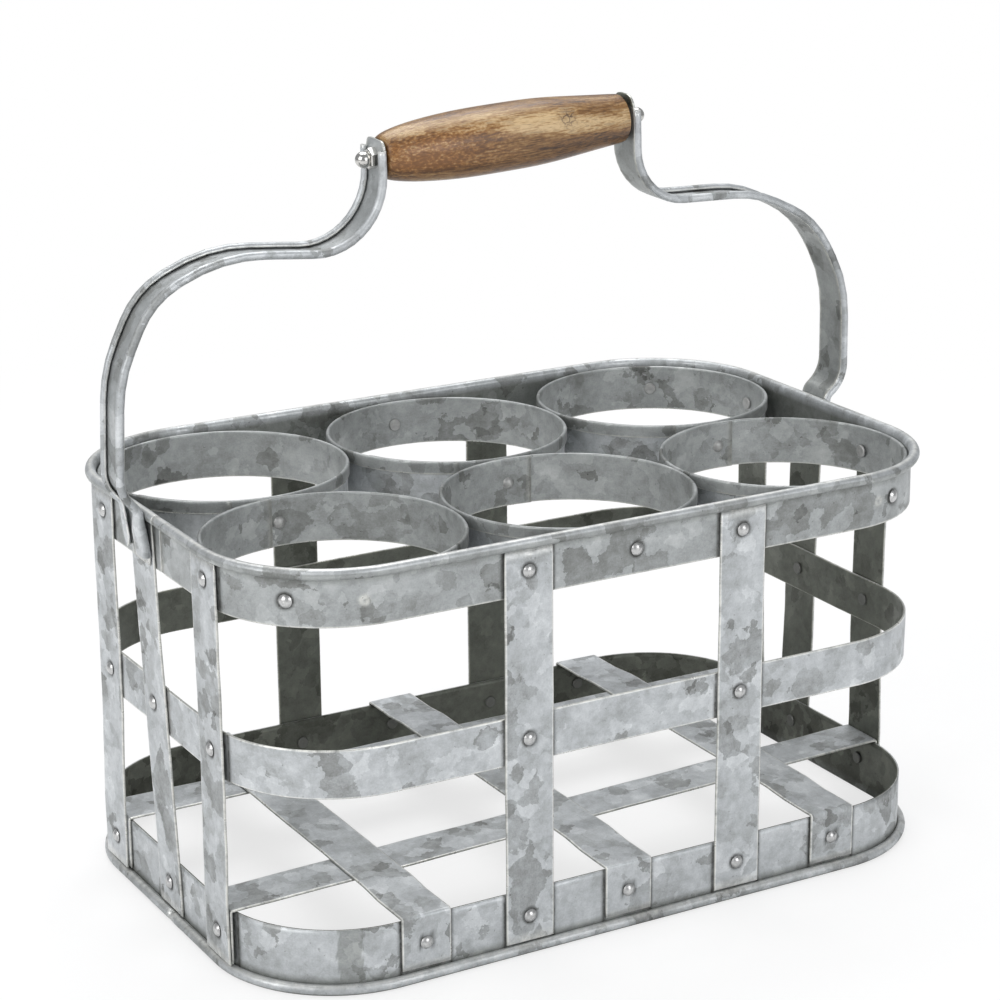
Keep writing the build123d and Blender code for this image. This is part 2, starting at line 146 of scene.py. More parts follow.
class Finish:
    """The finish of a material or of the room, whose nodes are added one by one."""

    def __init__(self, owner):
        self.owner = owner
        owner.use_nodes = True
        self.tree = owner.node_tree
        self.tree.nodes.clear()

    def node(self, kind, settings=None, sockets=None):
        """Adds a node from its type, its settings and the values or links of its sockets."""
        made = self.tree.nodes.new(kind)
        for key, value in (settings or {}).items():
            if key == "stops":
                ramp = made.color_ramp
                while len(ramp.elements) < len(value):
                    ramp.elements.new(0.5)
                for stop, (position, colour) in zip(ramp.elements, value):
                    stop.position = position
                    stop.color = (*colour, 1.0)
            else:
                setattr(made, key, value)
        for key, value in (sockets or {}).items():
            if isinstance(value, Wire):
                self.tree.links.new(value.socket, made.inputs[key])
            else:
                made.inputs[key].default_value = value
        return {out.name: Wire(self, out) for out in made.outputs if out.enabled}

    def math(self, operation, *values):
        return self.node("ShaderNodeMath", {"operation": operation}, dict(enumerate(values)))["Value"]

    def mix(self, share, first, second, how="MIX"):
        """A blend of two colours."""
        first, second = ((*c, 1.0) if isinstance(c, tuple) else c for c in (first, second))
        settings = {"data_type": "RGBA", "blend_type": how}
        return self.node("ShaderNodeMix", settings, {0: share, 6: first, 7: second})["Result"]

    def surface(self, sockets):
        shader = self.node("ShaderNodeBsdfPrincipled", None, sockets)["BSDF"]
        self.node("ShaderNodeOutputMaterial", None, {"Surface": shader})
        return self.owner


white = (1.0, 1.0, 1.0, 1.0)
room_light = {"Color": (0.95, 0.97, 1.0, 1.0), "Strength": 0.40}
room = Finish(bpy.data.worlds.new("room"))
scene.world = room.owner
room_seen = room.node("ShaderNodeLightPath")["Is Camera Ray"]
room_lit = room.node("ShaderNodeBackground", None, room_light)["Background"]
room_white = room.node("ShaderNodeBackground", None, {"Color": white, "Strength": 1.0})["Background"]
room_either = room.node("ShaderNodeMixShader", None, {0: room_seen, 1: room_lit, 2: room_white})["Shader"]
room.node("ShaderNodeOutputWorld", None, {"Surface": room_either})

floor_half = 6.0
floor_drop = 0.2 * mm
floor_glow = 0.72             # how far the floor round the caddy is lifted to plain white
white_from = 0.55             # metres out, where the shadow fades into plain white
white_over = 0.5
floor_mesh = bpy.data.meshes.new("floor")
floor_shape = bmesh.new()
bmesh.ops.create_grid(floor_shape, x_segments=8, y_segments=8, size=floor_half)
floor_shape.to_mesh(floor_mesh)
floor_shape.free()
floor = bpy.data.objects.new("floor", floor_mesh)
floor.location.z = -floor_drop
scene.collection.objects.link(floor)

matt = Finish(bpy.data.materials.new("floor"))
floor_paint = matt.node("ShaderNodeBsdfDiffuse", None, {"Color": (0.90, 0.90, 0.90, 1.0)})["BSDF"]
floor_white = matt.node("ShaderNodeEmission", None, {"Color": white, "Strength": 1.0})["Emission"]
floor_seen = matt.node("ShaderNodeLightPath")["Is Camera Ray"]
floor_spot = matt.node("ShaderNodeTexCoord")["Object"]
floor_off = matt.node("ShaderNodeVectorMath", {"operation": "LENGTH"}, {0: floor_spot})["Value"]
floor_share = floor_seen * (floor_glow + floor_off.above(white_from, white_over) * (1.0 - floor_glow))
floor_either = matt.node("ShaderNodeMixShader", None, {
    0: floor_share, 1: floor_paint, 2: floor_white,
})["Shader"]
matt.node("ShaderNodeOutputMaterial", None, {"Surface": floor_either})
floor_mesh.materials.append(matt.owner)


# Base band. The bottom strip, 25 mm high, its lower edge rolled outward into the bead that the
# whole caddy stands on. Like every band and strap it is cut from dipped steel: grey zinc with
# ragged crystals, rubbed on its edges with a painted highlight there too, painted shade round
# rivets and beside straps, and painted shade with some dirt on the inside and in hollows.
zinc = Finish(bpy.data.materials.new("galvanised_sheet"))
place = zinc.node("ShaderNodeAttribute", {"attribute_name": "sheet_place"})["Vector"]
edge = zinc.node("ShaderNodeAttribute", {"attribute_name": "sheet_edge"})["Fac"]
# sheet_inside: how much greenish painted shade, with some dirt, a face gets
inside = zinc.node("ShaderNodeAttribute", {"attribute_name": "sheet_inside"})["Fac"]
# sheet_grime: painted shade in the dent round each rivet head, and a painted shadow line beside each strap's
# edge
painted_shade = zinc.node("ShaderNodeAttribute", {"attribute_name": "sheet_grime"})["Fac"]

warp = zinc.node("ShaderNodeTexNoise", None, {
    "Vector": place, "Scale": 190.0, "Detail": 5.0, "Roughness": 0.58,
})["Color"]
ragged = zinc.node("ShaderNodeVectorMath", {"operation": "MULTIPLY_ADD"}, {
    0: warp, 1: (8 * mm,) * 3, 2: place,
})["Vector"]


def crystals(scale, drift_scale):
    """Ragged crystals of one size: each one's random colour, and how far it lies in a drift."""
    cell = zinc.node("ShaderNodeTexVoronoi", None, {"Vector": ragged, "Scale": scale})
    colour = zinc.node("ShaderNodeSeparateColor", None, {"Color": cell["Color"]})
    drift = {"Vector": cell["Position"], "Scale": drift_scale, "Detail": 2.0}
    return colour, zinc.node("ShaderNodeTexNoise", None, drift)["Fac"]


flake, flake_drift = crystals(165.0, 58.0)
patch, patch_drift = crystals(88.0, 27.0)
large = patch["Green"].above(0.55, 0.03) * patch_drift.above(0.53, 0.03) * (0.30 + patch["Blue"] * 0.90)
small = flake["Red"].above(0.68, 0.03) * flake_drift.above(0.53, 0.03) * (0.25 + flake["Blue"] * 0.95)
pale = (1.0 - flake["Red"].above(0.25, 0.03)) * flake_drift.above(0.47, 0.03)
cloud = zinc.node("ShaderNodeTexNoise", None, {
    "Vector": place, "Scale": 62.0, "Detail": 5.0, "Roughness": 0.6,
})["Fac"]
dull = zinc.node("ShaderNodeTexNoise", None, {
    "Vector": place, "Scale": 240.0, "Detail": 6.0, "Roughness": 0.7,
})["Fac"]
grain = zinc.node("ShaderNodeTexNoise", None, {"Vector": place, "Scale": 1500.0, "Detail": 3.0})["Fac"]
speck = zinc.node("ShaderNodeTexNoise", None, {"Vector": place, "Scale": 620.0, "Detail": 2.0})["Fac"]
pit = speck.above(0.72, 0.05)
tone = 0.61 + (cloud - 0.5) * 0.70 + (dull - 0.5) * 0.60 + (grain - 0.5) * 0.25
tone = tone + (patch["Blue"] - 0.5) * 0.12 - large * 0.28 - small * 0.24 + pale * 0.13 - pit * 0.25
frost = zinc.node("ShaderNodeValToRGB", {"stops": (
    (0.0, (0.130, 0.132, 0.126)),
    (0.35, (0.300, 0.310, 0.308)),
    (0.62, (0.470, 0.490, 0.503)),
    (1.0, (0.720, 0.740, 0.752)),
)}, {"Fac": tone.clamp()})["Color"]

# lighter rubbed zinc on cut edges and along the rolls: real wear, partly a painted highlight
rubbed_and_highlit_zinc = (0.80, 0.80, 0.77)
# multiplied over inner faces and hollows: painted shade, with some dirt, greenish grey
shade_and_dirt_tint = (0.230, 0.235, 0.180)
# near black, for the painted shade round rivets and beside straps
painted_shade_tone = (0.045, 0.045, 0.039)
rub_and_highlight = (edge * (0.45 + (dull - 0.4) * 3.0)).clamp()
painted_shade_share = (painted_shade * (0.62 + (dull - 0.35) * 2.0)).clamp()
zinc_colour = zinc.mix(rub_and_highlight, frost, rubbed_and_highlit_zinc)
zinc_colour = zinc.mix(inside * 0.92, zinc_colour, shade_and_dirt_tint, "MULTIPLY")
zinc_colour = zinc.mix(painted_shade_share * 0.92, zinc_colour, painted_shade_tone)
galvanised = zinc.surface({
    "Base Color": zinc_colour,
    "Metallic": 0.55,
    "Roughness": 0.47 + (patch["Green"] - 0.5) * 0.16 + large * 0.08 - rub_and_highlight * 0.15 + painted_shade_share * 0.15,
    "Normal": zinc.node("ShaderNodeBump", None, {
        "Strength": 0.40, "Distance": 0.4 * mm,
        "Height": large * -0.25 + dull * 0.8 + grain * 0.12 - pit * 0.5,
    })["Normal"],
})


def leaf(line, thickness):
    """The points (u, v, across, side, edge) round a sheet's cut section, from its middle line: side
    is +1 on the left of the way the line is drawn, -1 on the right, and edge is 1 on the cut edges."""
    line = [Vector(p) for p in line]
    across = [0.0]
    for a, b in zip(line, line[1:]):
        across.append(across[-1] + (b - a).length)
    last = len(line) - 1
    ways = [(line[min(i + 1, last)] - line[max(i - 1, 0)]).normalized() for i in range(last + 1)]
    points = []

    def add(i, turn, side, edge):
        way = ways[i]
        left = Vector((-way.y, way.x))
        at = line[i] + thickness / 2 * (math.cos(turn) * left + math.sin(turn) * way)
        points.append((at.x, at.y, across[i], side, edge))

    for i in range(last + 1):
        add(i, 0.0, 1, 0.0 if 0 < i < last else 1.0)
    for step in (0.25, 0.5, 0.75):
        add(last, math.pi * step, 0, 1.0)
    for i in range(last, -1, -1):
        add(i, math.pi, -1, 0.0 if 0 < i < last else 1.0)
    for step in (0.25, 0.5, 0.75):
        add(0, math.pi + math.pi * step, 0, 1.0)
    return points


def divide(length, pitch, marks=(), reach=5 * mm, fine=0.7 * mm):
    """Stations along a length, closer together near each mark."""
    count = max(2, round(length / pitch))
    found = {length * i / count for i in range(count + 1)}
    for mark in marks:
        steps = round(2 * reach / fine)
        found |= {min(max(mark - reach + fine * i, 0.0), length) for i in range(steps + 1)}
    ordered = sorted(found)
    kept = [ordered[0]]
    for s in ordered[1:-1]:
        if s - kept[-1] > 0.3 * fine and length - s > 0.3 * fine:
            kept.append(s)
    return kept + [ordered[-1]]


def skin(shape, stations, seed):
    """A sheet drawn over stations of (along, [(point, across, edge, shade and dirt, painted shade), ...]),
    its two ends closed. The seed shifts the zinc's pattern from piece to piece."""
    layers = shape.verts.layers
    where = layers.float_vector.get("sheet_place") or layers.float_vector.new("sheet_place")
    floats = [
        layers.float.get(key) or layers.float.new(key)
        for key in ("sheet_edge", "sheet_inside", "sheet_grime")
    ]
    rows = []
    for along, ring in stations:
        row = []
        for point, across, *marks in ring:
            vert = shape.verts.new(point)
            vert[where] = (along + seed, across + seed * 0.37, seed * 0.5)
            for layer, mark in zip(floats, marks):
                vert[layer] = mark
            row.append(vert)
        rows.append(row)
    count = len(rows[0])
    for a, b in zip(rows, rows[1:]):
        for i in range(count):
            j = (i + 1) % count
            shape.faces.new((a[i], a[j], b[j], b[i]))
    # each end is closed from one side of the sheet to the other, and round its two tips
    side = count // 2 - 3
    for row, turn in ((rows[0], False), (rows[-1], True)):
        quads = []
        for i in range(side - 1):
            quads.append((row[i], row[i + 1], row[2 * side + 1 - i], row[2 * side + 2 - i]))
        quads.append(tuple(row[side - 1:side + 4]))
        quads.append(tuple(row[2 * side + 2:] + [row[0]]))
        for quad in quads:
            shape.faces.new(quad if turn else tuple(reversed(quad)))


def finish_piece(name, shape, body, material):
    """Makes the drawn shape a piece that rides on its body in place of the node of the same name."""
    bmesh.ops.recalc_face_normals(shape, faces=shape.faces)
    for face in shape.faces:
        face.smooth = True
    mesh = bpy.data.meshes.new(name)
    shape.to_mesh(mesh)
    shape.free()
    mesh.materials.append(material)
    made = bpy.data.objects.new(name, mesh)
    scene.collection.objects.link(made)
    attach(made, body)
    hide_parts(name)
    return made


def value_at(given, along, across):
    return given(along, across) if callable(given) else given


# round a rivet, from its middle: the painted shade ring at its head, the end of the dent and the ridge beyond
shade_ring = 2.7 * mm
dent_edge = 2.6 * mm
ridge_ring = 4.4 * mm


def sheet_piece(
    name, section, spine, dents=(), wave=0.2 * mm, quiet=(), seed=0.0, bevel=0.25 * mm,
    inward=1.0, outward_shade_and_dirt=0.0, wear_and_highlight=0.0, seams=(), into=None,
):
    """A sheet carried along a spine of (along, origin, outward, sideways), a little uneven by hand.
    section: points of leaf(), or a function of along. dents: (along, across, depth) round a rivet.
    quiet: places that the unevenness keeps off. seams: (along, half width) of the straps that lie
    over it, with a painted shadow line beside their edges. inward and outward_shade_and_dirt: how much
    painted shade, with some dirt, its two faces get, and wear: how rubbed it is, partly a painted highlight,
    each a number or a function of along and across. into: the shape that the sheet is only a part of."""
    stations = []
    length = spine[-1][0]
    for along, origin, outward, sideways in spine:
        points = section(along) if callable(section) else section
        near_end = min(along - spine[0][0], length - along)
        thin = 1.0 if near_end > bevel else 0.62 + 0.38 * near_end / bevel
        middle = {}
        for u, v, across, side, edge in points:
            middle.setdefault(across, []).append(Vector((u, v)))
        ring = []
        for u, v, across, side, edge in points:
            if thin < 1.0:
                centre = sum(middle[across], Vector((0, 0))) / len(middle[across])
                u, v = centre + (Vector((u, v)) - centre) * thin
            swell = wave * noise.noise(Vector((along / (38 * mm), across / (26 * mm), seed * 7.3)))
            swell += 0.35 * wave * noise.noise(Vector((along / (11 * mm), across / (9 * mm), seed * 3.1)))
            for mark, height in quiet:
                away = math.hypot(along - mark, across - height)
                swell *= 1.0 - math.exp(-(away / (9 * mm)) ** 2)
            painted_shade = 0.0
            if side > 0:
                # painted shade on the outer face: a ring in the dent round each rivet head, and a shadow line
                # beside each strap's edge
                for mark, height, depth in dents:
                    away = math.hypot(along - mark, across - height)
                    if away < 6 * mm:
                        painted_shade = max(painted_shade, math.exp(-((away - shade_ring) / (0.75 * mm)) ** 2))
                        swell -= depth * math.exp(-max(0.0, away - dent_edge) ** 2 / (1.0 * mm) ** 2)
                        swell += 0.30 * depth * math.exp(-((away - ridge_ring) / (0.7 * mm)) ** 2)
                for mark, reach in seams:
                    away = abs(abs(along - mark) - reach - 0.3 * mm)
                    if away < 3 * mm:
                        painted_shade = max(painted_shade, math.exp(-(away / (0.8 * mm)) ** 2))
            # cut edges, piece ends and given lines get rubbed zinc, partly a painted highlight
            worn_and_highlit = edge if near_end > bevel else max(edge, 0.9)
            worn_and_highlit = max(worn_and_highlit, value_at(wear_and_highlight, along, across))
            # how much painted shade, with some dirt, each face gets
            if side > 0:
                shade_share = value_at(outward_shade_and_dirt, along, across)
            else:
                shade_share = value_at(inward, along, across) * (1.0 if side < 0 else 0.4)
            ring.append((origin + outward * (u + swell) + sideways * v, across, worn_and_highlit, shade_share, painted_shade))
        stations.append((along, ring))
    shape = into or bmesh.new()
    skin(shape, stations, seed)
    if into is None:
        finish_piece(name, shape, "caddy", galvanised)


# the bands' common plan: a rounded rectangle, walked from the seam on the left end towards the
# back, over the back, round the right end and home along the front
middle_low, middle_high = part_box("middle_band")
sheet = 1.0 * mm
corner = 47.2 * mm
half_length = middle_high.x - sheet
half_width = middle_high.y - sheet
seam_y = -6.5 * mm
seam_gap = 0.3 * mm
band_pitch = 3.5 * mm
wall_pitch = 2.5 * mm

plan_legs = []
plan_at = Vector((-half_length, seam_y + seam_gap / 2, 0))
for way, run in (
    (Vector((0, 1, 0)), half_width - corner - plan_at.y),
    (Vector((1, 0, 0)), 2 * (half_length - corner)),
    (Vector((0, -1, 0)), 2 * (half_width - corner)),
    (Vector((-1, 0, 0)), 2 * (half_length - corner)),
    (Vector((0, 1, 0)), half_width - corner + seam_y - seam_gap / 2),
):
    plan_legs.append(("run", plan_at.copy(), way, run))
    plan_at = plan_at + way * run
    if len(plan_legs) < 9:
        turned = Vector((way.y, -way.x, 0))
        plan_legs.append(("turn", plan_at + turned * corner, way, corner * math.pi / 2))
        plan_at = plan_at + (turned + way) * corner
plan_length = sum(leg[3] for leg in plan_legs)


def plan(along):
    """Place and outward direction on the bands' inner face, a distance along from the seam."""
    for kind, start, way, run in plan_legs:
        if along <= run + 1e-9 or start is plan_legs[-1][1]:
            break
        along -= run
    outward = Vector((-way.y, way.x, 0))
    if kind == "run":
        return start + way * along, outward
    swung = Matrix.Rotation(-along / corner, 3, "Z") @ outward
    return start + swung * corner, swung


def plan_along(x, y):
    """How far from the seam a place on the plan lies."""
    tries = [plan_length * i / 3000 for i in range(3001)]
    return min(tries, key=lambda s: (plan(s)[0] - Vector((x, y, 0))).length)


def band_spine(marks, reach=2.4 * mm):
    """A band's stations, once round the plan."""
    return [(s, *plan(s), Vector((0, 0, 1))) for s in divide(plan_length, band_pitch, marks, reach)]


# the straps that lie over the bands: the end ones' middles at top and foot, in mm along y, and
# where the ones across the floor stand along x
end_centres = {
    "left_end_strap_rear": (47.0, 47.0),
    "left_end_strap_middle": (9.5, -4.2),
    "left_end_strap_front": (-45.6, -49.2),
    "right_end_strap_rear": (45.0, 45.0),
    "right_end_strap_middle": (6.0, 10.3),
    "right_end_strap_front": (-38.6, -38.0),
}
end_width = 20.5 * mm
cross_strap_x = {"left": -88.5 * mm, "middle": -3.0 * mm, "right": 90.0 * mm}
floor_strap_width = 20 * mm


def crossings(z):
    """Where straps cross a band at a height, as (along the plan, half the strap's width)."""
    found = []
    for face, out in (("front", -1), ("back", 1)):
        for side in ("left", "right"):
            low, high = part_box(f"{face}_strap_{side}")
            found.append((plan_along((low.x + high.x) / 2, out * half_width), (high.x - low.x) / 2))
    for name, (top_y, foot_y) in end_centres.items():
        low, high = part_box(name)
        if low.z < z < high.z:
            share = (z - low.z) / (high.z - low.z)
            y = (foot_y + (top_y - foot_y) * share) * mm
            end_x = -half_length if name.startswith("left") else half_length
            found.append((plan_along(end_x, y), end_width / 2))
    return found


def seam_marks(seams):
    return [mark + hand * reach for mark, reach in seams for hand in (-1, 1)]


def arc(centre, radius, start, sweep, count):
    """Points of an arc in a section, angles in degrees."""
    turns = [math.radians(start + sweep * i / count) for i in range(count + 1)]
    return [(centre[0] + radius * math.cos(a), centre[1] + radius * math.sin(a)) for a in turns]


def fall(u, top, bottom, marks=()):
    """A straight middle line down a wall, closer near each mark and near its ends."""
    depths = divide(top - bottom, wall_pitch, [top - m for m in marks])
    depths = sorted(set(depths) | {0.4 * mm, top - bottom - 0.4 * mm})
    return [(u, top - d) for d in depths]


skin_sheet = 0.9 * mm         # drawn a little thinner than the real sheet, to stay inside it
bead = 2.1 * mm               # the rolled bead's outside radius, then its middle line's
bead_radius = bead - sheet / 2
bead_sweep = 290
bead_steps = 22
bead_roll = bead_radius * math.radians(bead_sweep)
foot_flat = 0.15 * mm
base_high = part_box("base_band")[1]
foot_z = bead - foot_flat
base_wall = base_high.z - foot_z
base_line = fall(sheet / 2, base_high.z, foot_z)
base_line += arc((bead, foot_z), bead_radius, 180, bead_sweep, bead_steps)[1:]
base_line[0] = (sheet / 2, base_high.z - skin_sheet / 2)
# the bead's lowest points are worn flat on the floor
base_section = [(u, max(v, 0.0), *marks) for u, v, *marks in leaf(base_line, skin_sheet)]

base_cross_z = 15 * mm
base_seams = crossings(base_cross_z)
for x in cross_strap_x.values():
    base_seams += [(plan_along(x, out * half_width), floor_strap_width / 2) for out in (-1, 1)]
smudge_along = plan_along(-118 * mm, -half_width)
smudge_half = 4.5 * mm


def base_inner_shade_and_dirt(along, across):
    """Painted shade, with some dirt, inside, and painted shade under the bead."""
    if across < base_wall - 1 * mm:
        return 1.0
    return 0.75 if across < base_wall + bead_roll * 0.5 else 0.12


def base_shade_and_smudge(along, across):
    """Painted shade in the angle over the bead, and an old dark smudge on the front, left of the straps."""
    wander = 1.2 * mm * noise.noise(Vector((across / (4 * mm), 0.0, 5.0)))
    if across > base_wall - 3 * mm:
        return 0.60
    return 0.48 if abs(along - smudge_along + wander) < smudge_half else 0.0


def base_wear_and_highlight(along, across):
    """Rubbed along the outside of the bead, partly a painted highlight."""
    return 0.75 * math.exp(-((across - base_wall - bead_roll * 0.80) / (0.09 * bead_roll)) ** 2)


sheet_piece(
    "base_band", base_section, band_spine(seam_marks(base_seams + [(smudge_along, smudge_half)])),
    wave=0.12 * mm, seed=1.0, seams=base_seams,
    inward=base_inner_shade_and_dirt, outward_shade_and_dirt=base_shade_and_smudge, wear_and_highlight=base_wear_and_highlight,
)


# Middle band. A plain strip of the same sheet, cut square along both edges, halfway up the
# straps. Each strap that crosses it has one rivet there.
rivet_middle_z = 84.3 * mm
middle_line = fall(sheet / 2, middle_high.z - skin_sheet / 2, middle_low.z + skin_sheet / 2)
middle_seams = crossings(rivet_middle_z)
sheet_piece(
    "middle_band", leaf(middle_line, skin_sheet), band_spine(seam_marks(middle_seams)),
    wave=0.35 * mm, seed=2.0, seams=middle_seams,
)


# Rim band. The top strip, its upper edge rolled outward over the straps' ends. The six cup rings
# are riveted to it, with a small dimple round each head.
rim_low, rim_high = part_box("rim_band")
rim_z = rim_high.z - bead
rivet_top_z = 148.0 * mm
rim_line = arc((bead, rim_z), bead_radius, 180 - bead_sweep, bead_sweep, bead_steps)
rim_line += fall(sheet / 2, rim_z, rim_low.z + skin_sheet / 2, [rivet_top_z])[1:]
ring_rivet_places = [(0.0, -half_width), (0.0, half_width)]
for side_x, side_y, turn in ((-1, -1, 45), (1, -1, 68), (-1, 1, 50), (1, 1, 60)):
    ring_rivet_places.append((
        side_x * (half_length - corner + corner * math.cos(math.radians(turn))),
        side_y * (half_width - corner + corner * math.sin(math.radians(turn))),
    ))
ring_marks = [plan_along(x, y) for x, y in ring_rivet_places]
ring_dent = 0.3 * mm
weld_marks = [plan_along(x * mm, -half_width) for x in (-109.5, 108.5)]
rim_drop = bead_roll + rim_z - rivet_top_z
rim_seams = crossings(rivet_top_z)


def rim_inner_shade_and_dirt(along, across):
    """Painted shade, with some dirt, inside, and a little painted shade under the roll."""
    if across > bead_roll + 1 * mm:
        return 0.75
    return 0.45 if across < bead_roll * 0.42 else 0.10


def rim_darkening_and_shade(along, across):
    """The rim is darker than the other bands, most of all under its roll, where the darkening is painted
    shade.
    """
    return 0.60 if across < bead_roll + 3 * mm else 0.30


def rim_wear_and_highlight(along, across):
    """Rubbed along the top of the roll, partly a painted highlight, and at two spot welds on the front."""
    top = 0.85 * math.exp(-((across - bead_roll * 0.66) / (0.07 * bead_roll)) ** 2)
    spots = [math.hypot(along - mark, across - rim_drop) for mark in weld_marks]
    return max([top] + [0.95 * math.exp(-((away - 1.2 * mm) / (0.9 * mm)) ** 2) for away in spots])


sheet_piece(
    "rim_band", leaf(rim_line, skin_sheet),
    band_spine(ring_marks + weld_marks + seam_marks(rim_seams), reach=4.2 * mm),
    dents=[(s, rim_drop, ring_dent) for s in ring_marks], wave=0.12 * mm, seed=3.0, seams=rim_seams,
    inward=rim_inner_shade_and_dirt, outward_shade_and_dirt=rim_darkening_and_shade, wear_and_highlight=rim_wear_and_highlight,
)


# Straps. Flat strips 20 mm wide outside the bands, one rivet at each crossing, the metal drawn in
# a little round every head. Those on the ends were set by hand and lean differently.
rivet_base_z = 14.6 * mm
rivet_heights = (rivet_top_z, rivet_middle_z, rivet_base_z)
strap_gap = 0.06 * mm
face_dent = 0.28 * mm
end_dent = 0.25 * mm


def strap_line(width, offset, marks=()):
    """Middle line across a strap, drawn so that side +1 faces outward."""
    steps = divide(width, 3.0 * mm, [width / 2 - m for m in marks], fine=0.8 * mm)
    steps = sorted(set(steps) | {0.4 * mm, width - 0.4 * mm})
    return [(offset, width / 2 - s) for s in steps]


def strap_stations(height, spots):
    """Stations up a strap, closer together near its rivets and with one more near the foot."""
    return sorted(set(divide(height, 4 * mm, [m for m, w in spots], fine=0.8 * mm)) | {0.25 * mm})


seed = 10.0
for face, out in (("front", -1), ("back", 1)):
    for side in ("left", "right"):
        name = f"{face}_strap_{side}"
        low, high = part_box(name)
        centre = (low.x + high.x) / 2
        width = high.x - low.x - skin_sheet
        inner_y = out * (half_width + sheet)
        spots = [(z - low.z, width / 2) for z in rivet_heights]
        spine = [
            (s, Vector((centre, inner_y, low.z + s)), Vector((0, out, 0)), Vector((1, 0, 0)))
            for s in strap_stations(high.z - low.z, spots)
        ]
        sheet_piece(
            name, leaf(strap_line(width, skin_sheet / 2 + strap_gap, [0.0]), skin_sheet), spine,
            dents=[(m, w, face_dent) for m, w in spots], quiet=spots, wave=0.5 * mm, seed=seed,
        )
        seed += 1.0

joggle_high = 70.0 * mm       # where an end strap steps out, to lie over a floor strap's flap
joggle_low = 30.0 * mm
end_rivets = {                # at the rim, the middle and the base, in mm along y
    "left_end_strap_rear": (46.5, 46.5, 46.5),
    "left_end_strap_middle": (None, 5.0, -3.0),
    "left_end_strap_front": (-46.0, -47.0, -49.0),
    "right_end_strap_rear": (45.0, 45.0, 45.0),
    "right_end_strap_middle": (None, 8.0, 10.0),
    "right_end_strap_front": (-37.6, -37.4, -37.4),
}
for name, rivet_ys in end_rivets.items():
    low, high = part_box(name)
    side = -1 if name.startswith("left") else 1
    step = 0.0 if "middle" in name else sheet
    top_y, foot_y = (y * mm for y in end_centres[name])
    height = high.z - low.z
    width = end_width - skin_sheet
    marks = []
    spots = []
    for y, z in zip(rivet_ys, rivet_heights):
        if y is not None:
            along = z - low.z
            centre_y = foot_y + (top_y - foot_y) * along / height
            marks.append(y * mm - centre_y)
            spots.append((along, width / 2 - marks[-1]))
    spine = []
    for s in strap_stations(height, spots):
        z = low.z + s
        ease = min(max((joggle_high - z) / (joggle_high - joggle_low), 0.0), 1.0)
        x = side * (half_length + sheet + step * ease)
        y = foot_y + (top_y - foot_y) * s / height
        spine.append((s, Vector((x, y, z)), Vector((side, 0, 0)), Vector((0, 1, 0))))
    sheet_piece(
        name, leaf(strap_line(width, skin_sheet / 2 + strap_gap, marks), skin_sheet), spine,
        dents=[(m, w, end_dent) for m, w in spots], quiet=spots, wave=0.45 * mm, seed=seed,
    )
    seed += 1.0


# Floor straps. Two long ones lie on the base band's top edge and fold down under the end straps;
# three cross ones lie over them and fold down over the front and back, one rivet in each flap.
bend_step = math.radians(9)


def route(corners, pitch):
    """A path through corner points (a, z, radius), rounded, as points (a, z)."""
    points = []
    for i, (a, z, radius) in enumerate(corners):
        at = Vector((a, z))
        if radius and 0 < i < len(corners) - 1:
            before = (Vector(corners[i - 1][:2]) - at).normalized()
            after = (Vector(corners[i + 1][:2]) - at).normalized()
            half_angle = before.angle(after) / 2
            reach = radius / math.tan(half_angle)
            centre = at + (before + after).normalized() * radius / math.sin(half_angle)
            start = at + before * reach - centre
            end = at + after * reach - centre
            swing = start.angle_signed(end)
            steps = max(2, round(abs(swing) / bend_step))
            for k in range(steps + 1):
                turn = -swing * k / steps
                points.append(centre + Matrix.Rotation(turn, 2) @ start)
        else:
            points.append(at)
    full = [points[0]]
    for a, b in zip(points, points[1:]):
        parts = max(1, round((b - a).length / pitch))
        full += [a.lerp(b, k / parts) for k in range(1, parts + 1)]
    return full


def path_spine(points, to_space, sideways):
    """Stations along a route, with the outward direction on the left of travel."""
    spine = []
    along = 0.0
    for i, p in enumerate(points):
        if i:
            along += (p - points[i - 1]).length
        way = (points[min(i + 1, len(points) - 1)] - points[max(i - 1, 0)]).normalized()
        left = Vector((-way.y, way.x))
        spine.append((along, to_space(p.x, p.y), to_space(left.x, left.y) - to_space(0, 0), sideways))
    return spine


base_top = base_high.z
fold = 0.6 * mm
half_sheet = sheet / 2
strap_across = floor_strap_width - skin_sheet
long_low = 5.0 * mm
flap_x = half_length + sheet + half_sheet
for name, left_y, right_y in (("front", -49.5 * mm, -38.0 * mm), ("rear", 45.0 * mm, 44.0 * mm)):
    corners = (
        (-flap_x, long_low, 0), (-flap_x, base_top + half_sheet, fold),
        (flap_x, base_top + half_sheet, fold), (flap_x, long_low, 0),
    )
    slope = (right_y - left_y) / (2 * (half_length + sheet))
    middle_y = (left_y + right_y) / 2
    spine = path_spine(
        route(corners, 4 * mm), lambda a, z: Vector((a, middle_y + slope * a, z)), Vector((0, 1, 0)),
    )
    # the strap lies askew, but its flaps still face squarely out
    spine = [(s, o, Vector((u.x, 0, u.z)).normalized(), w) for s, o, u, w in spine]
    sheet_piece(
        f"floor_long_strap_{name}", leaf(strap_line(strap_across, 0.0), skin_sheet), spine,
        wave=0.25 * mm, seed=seed,
    )
    seed += 1.0

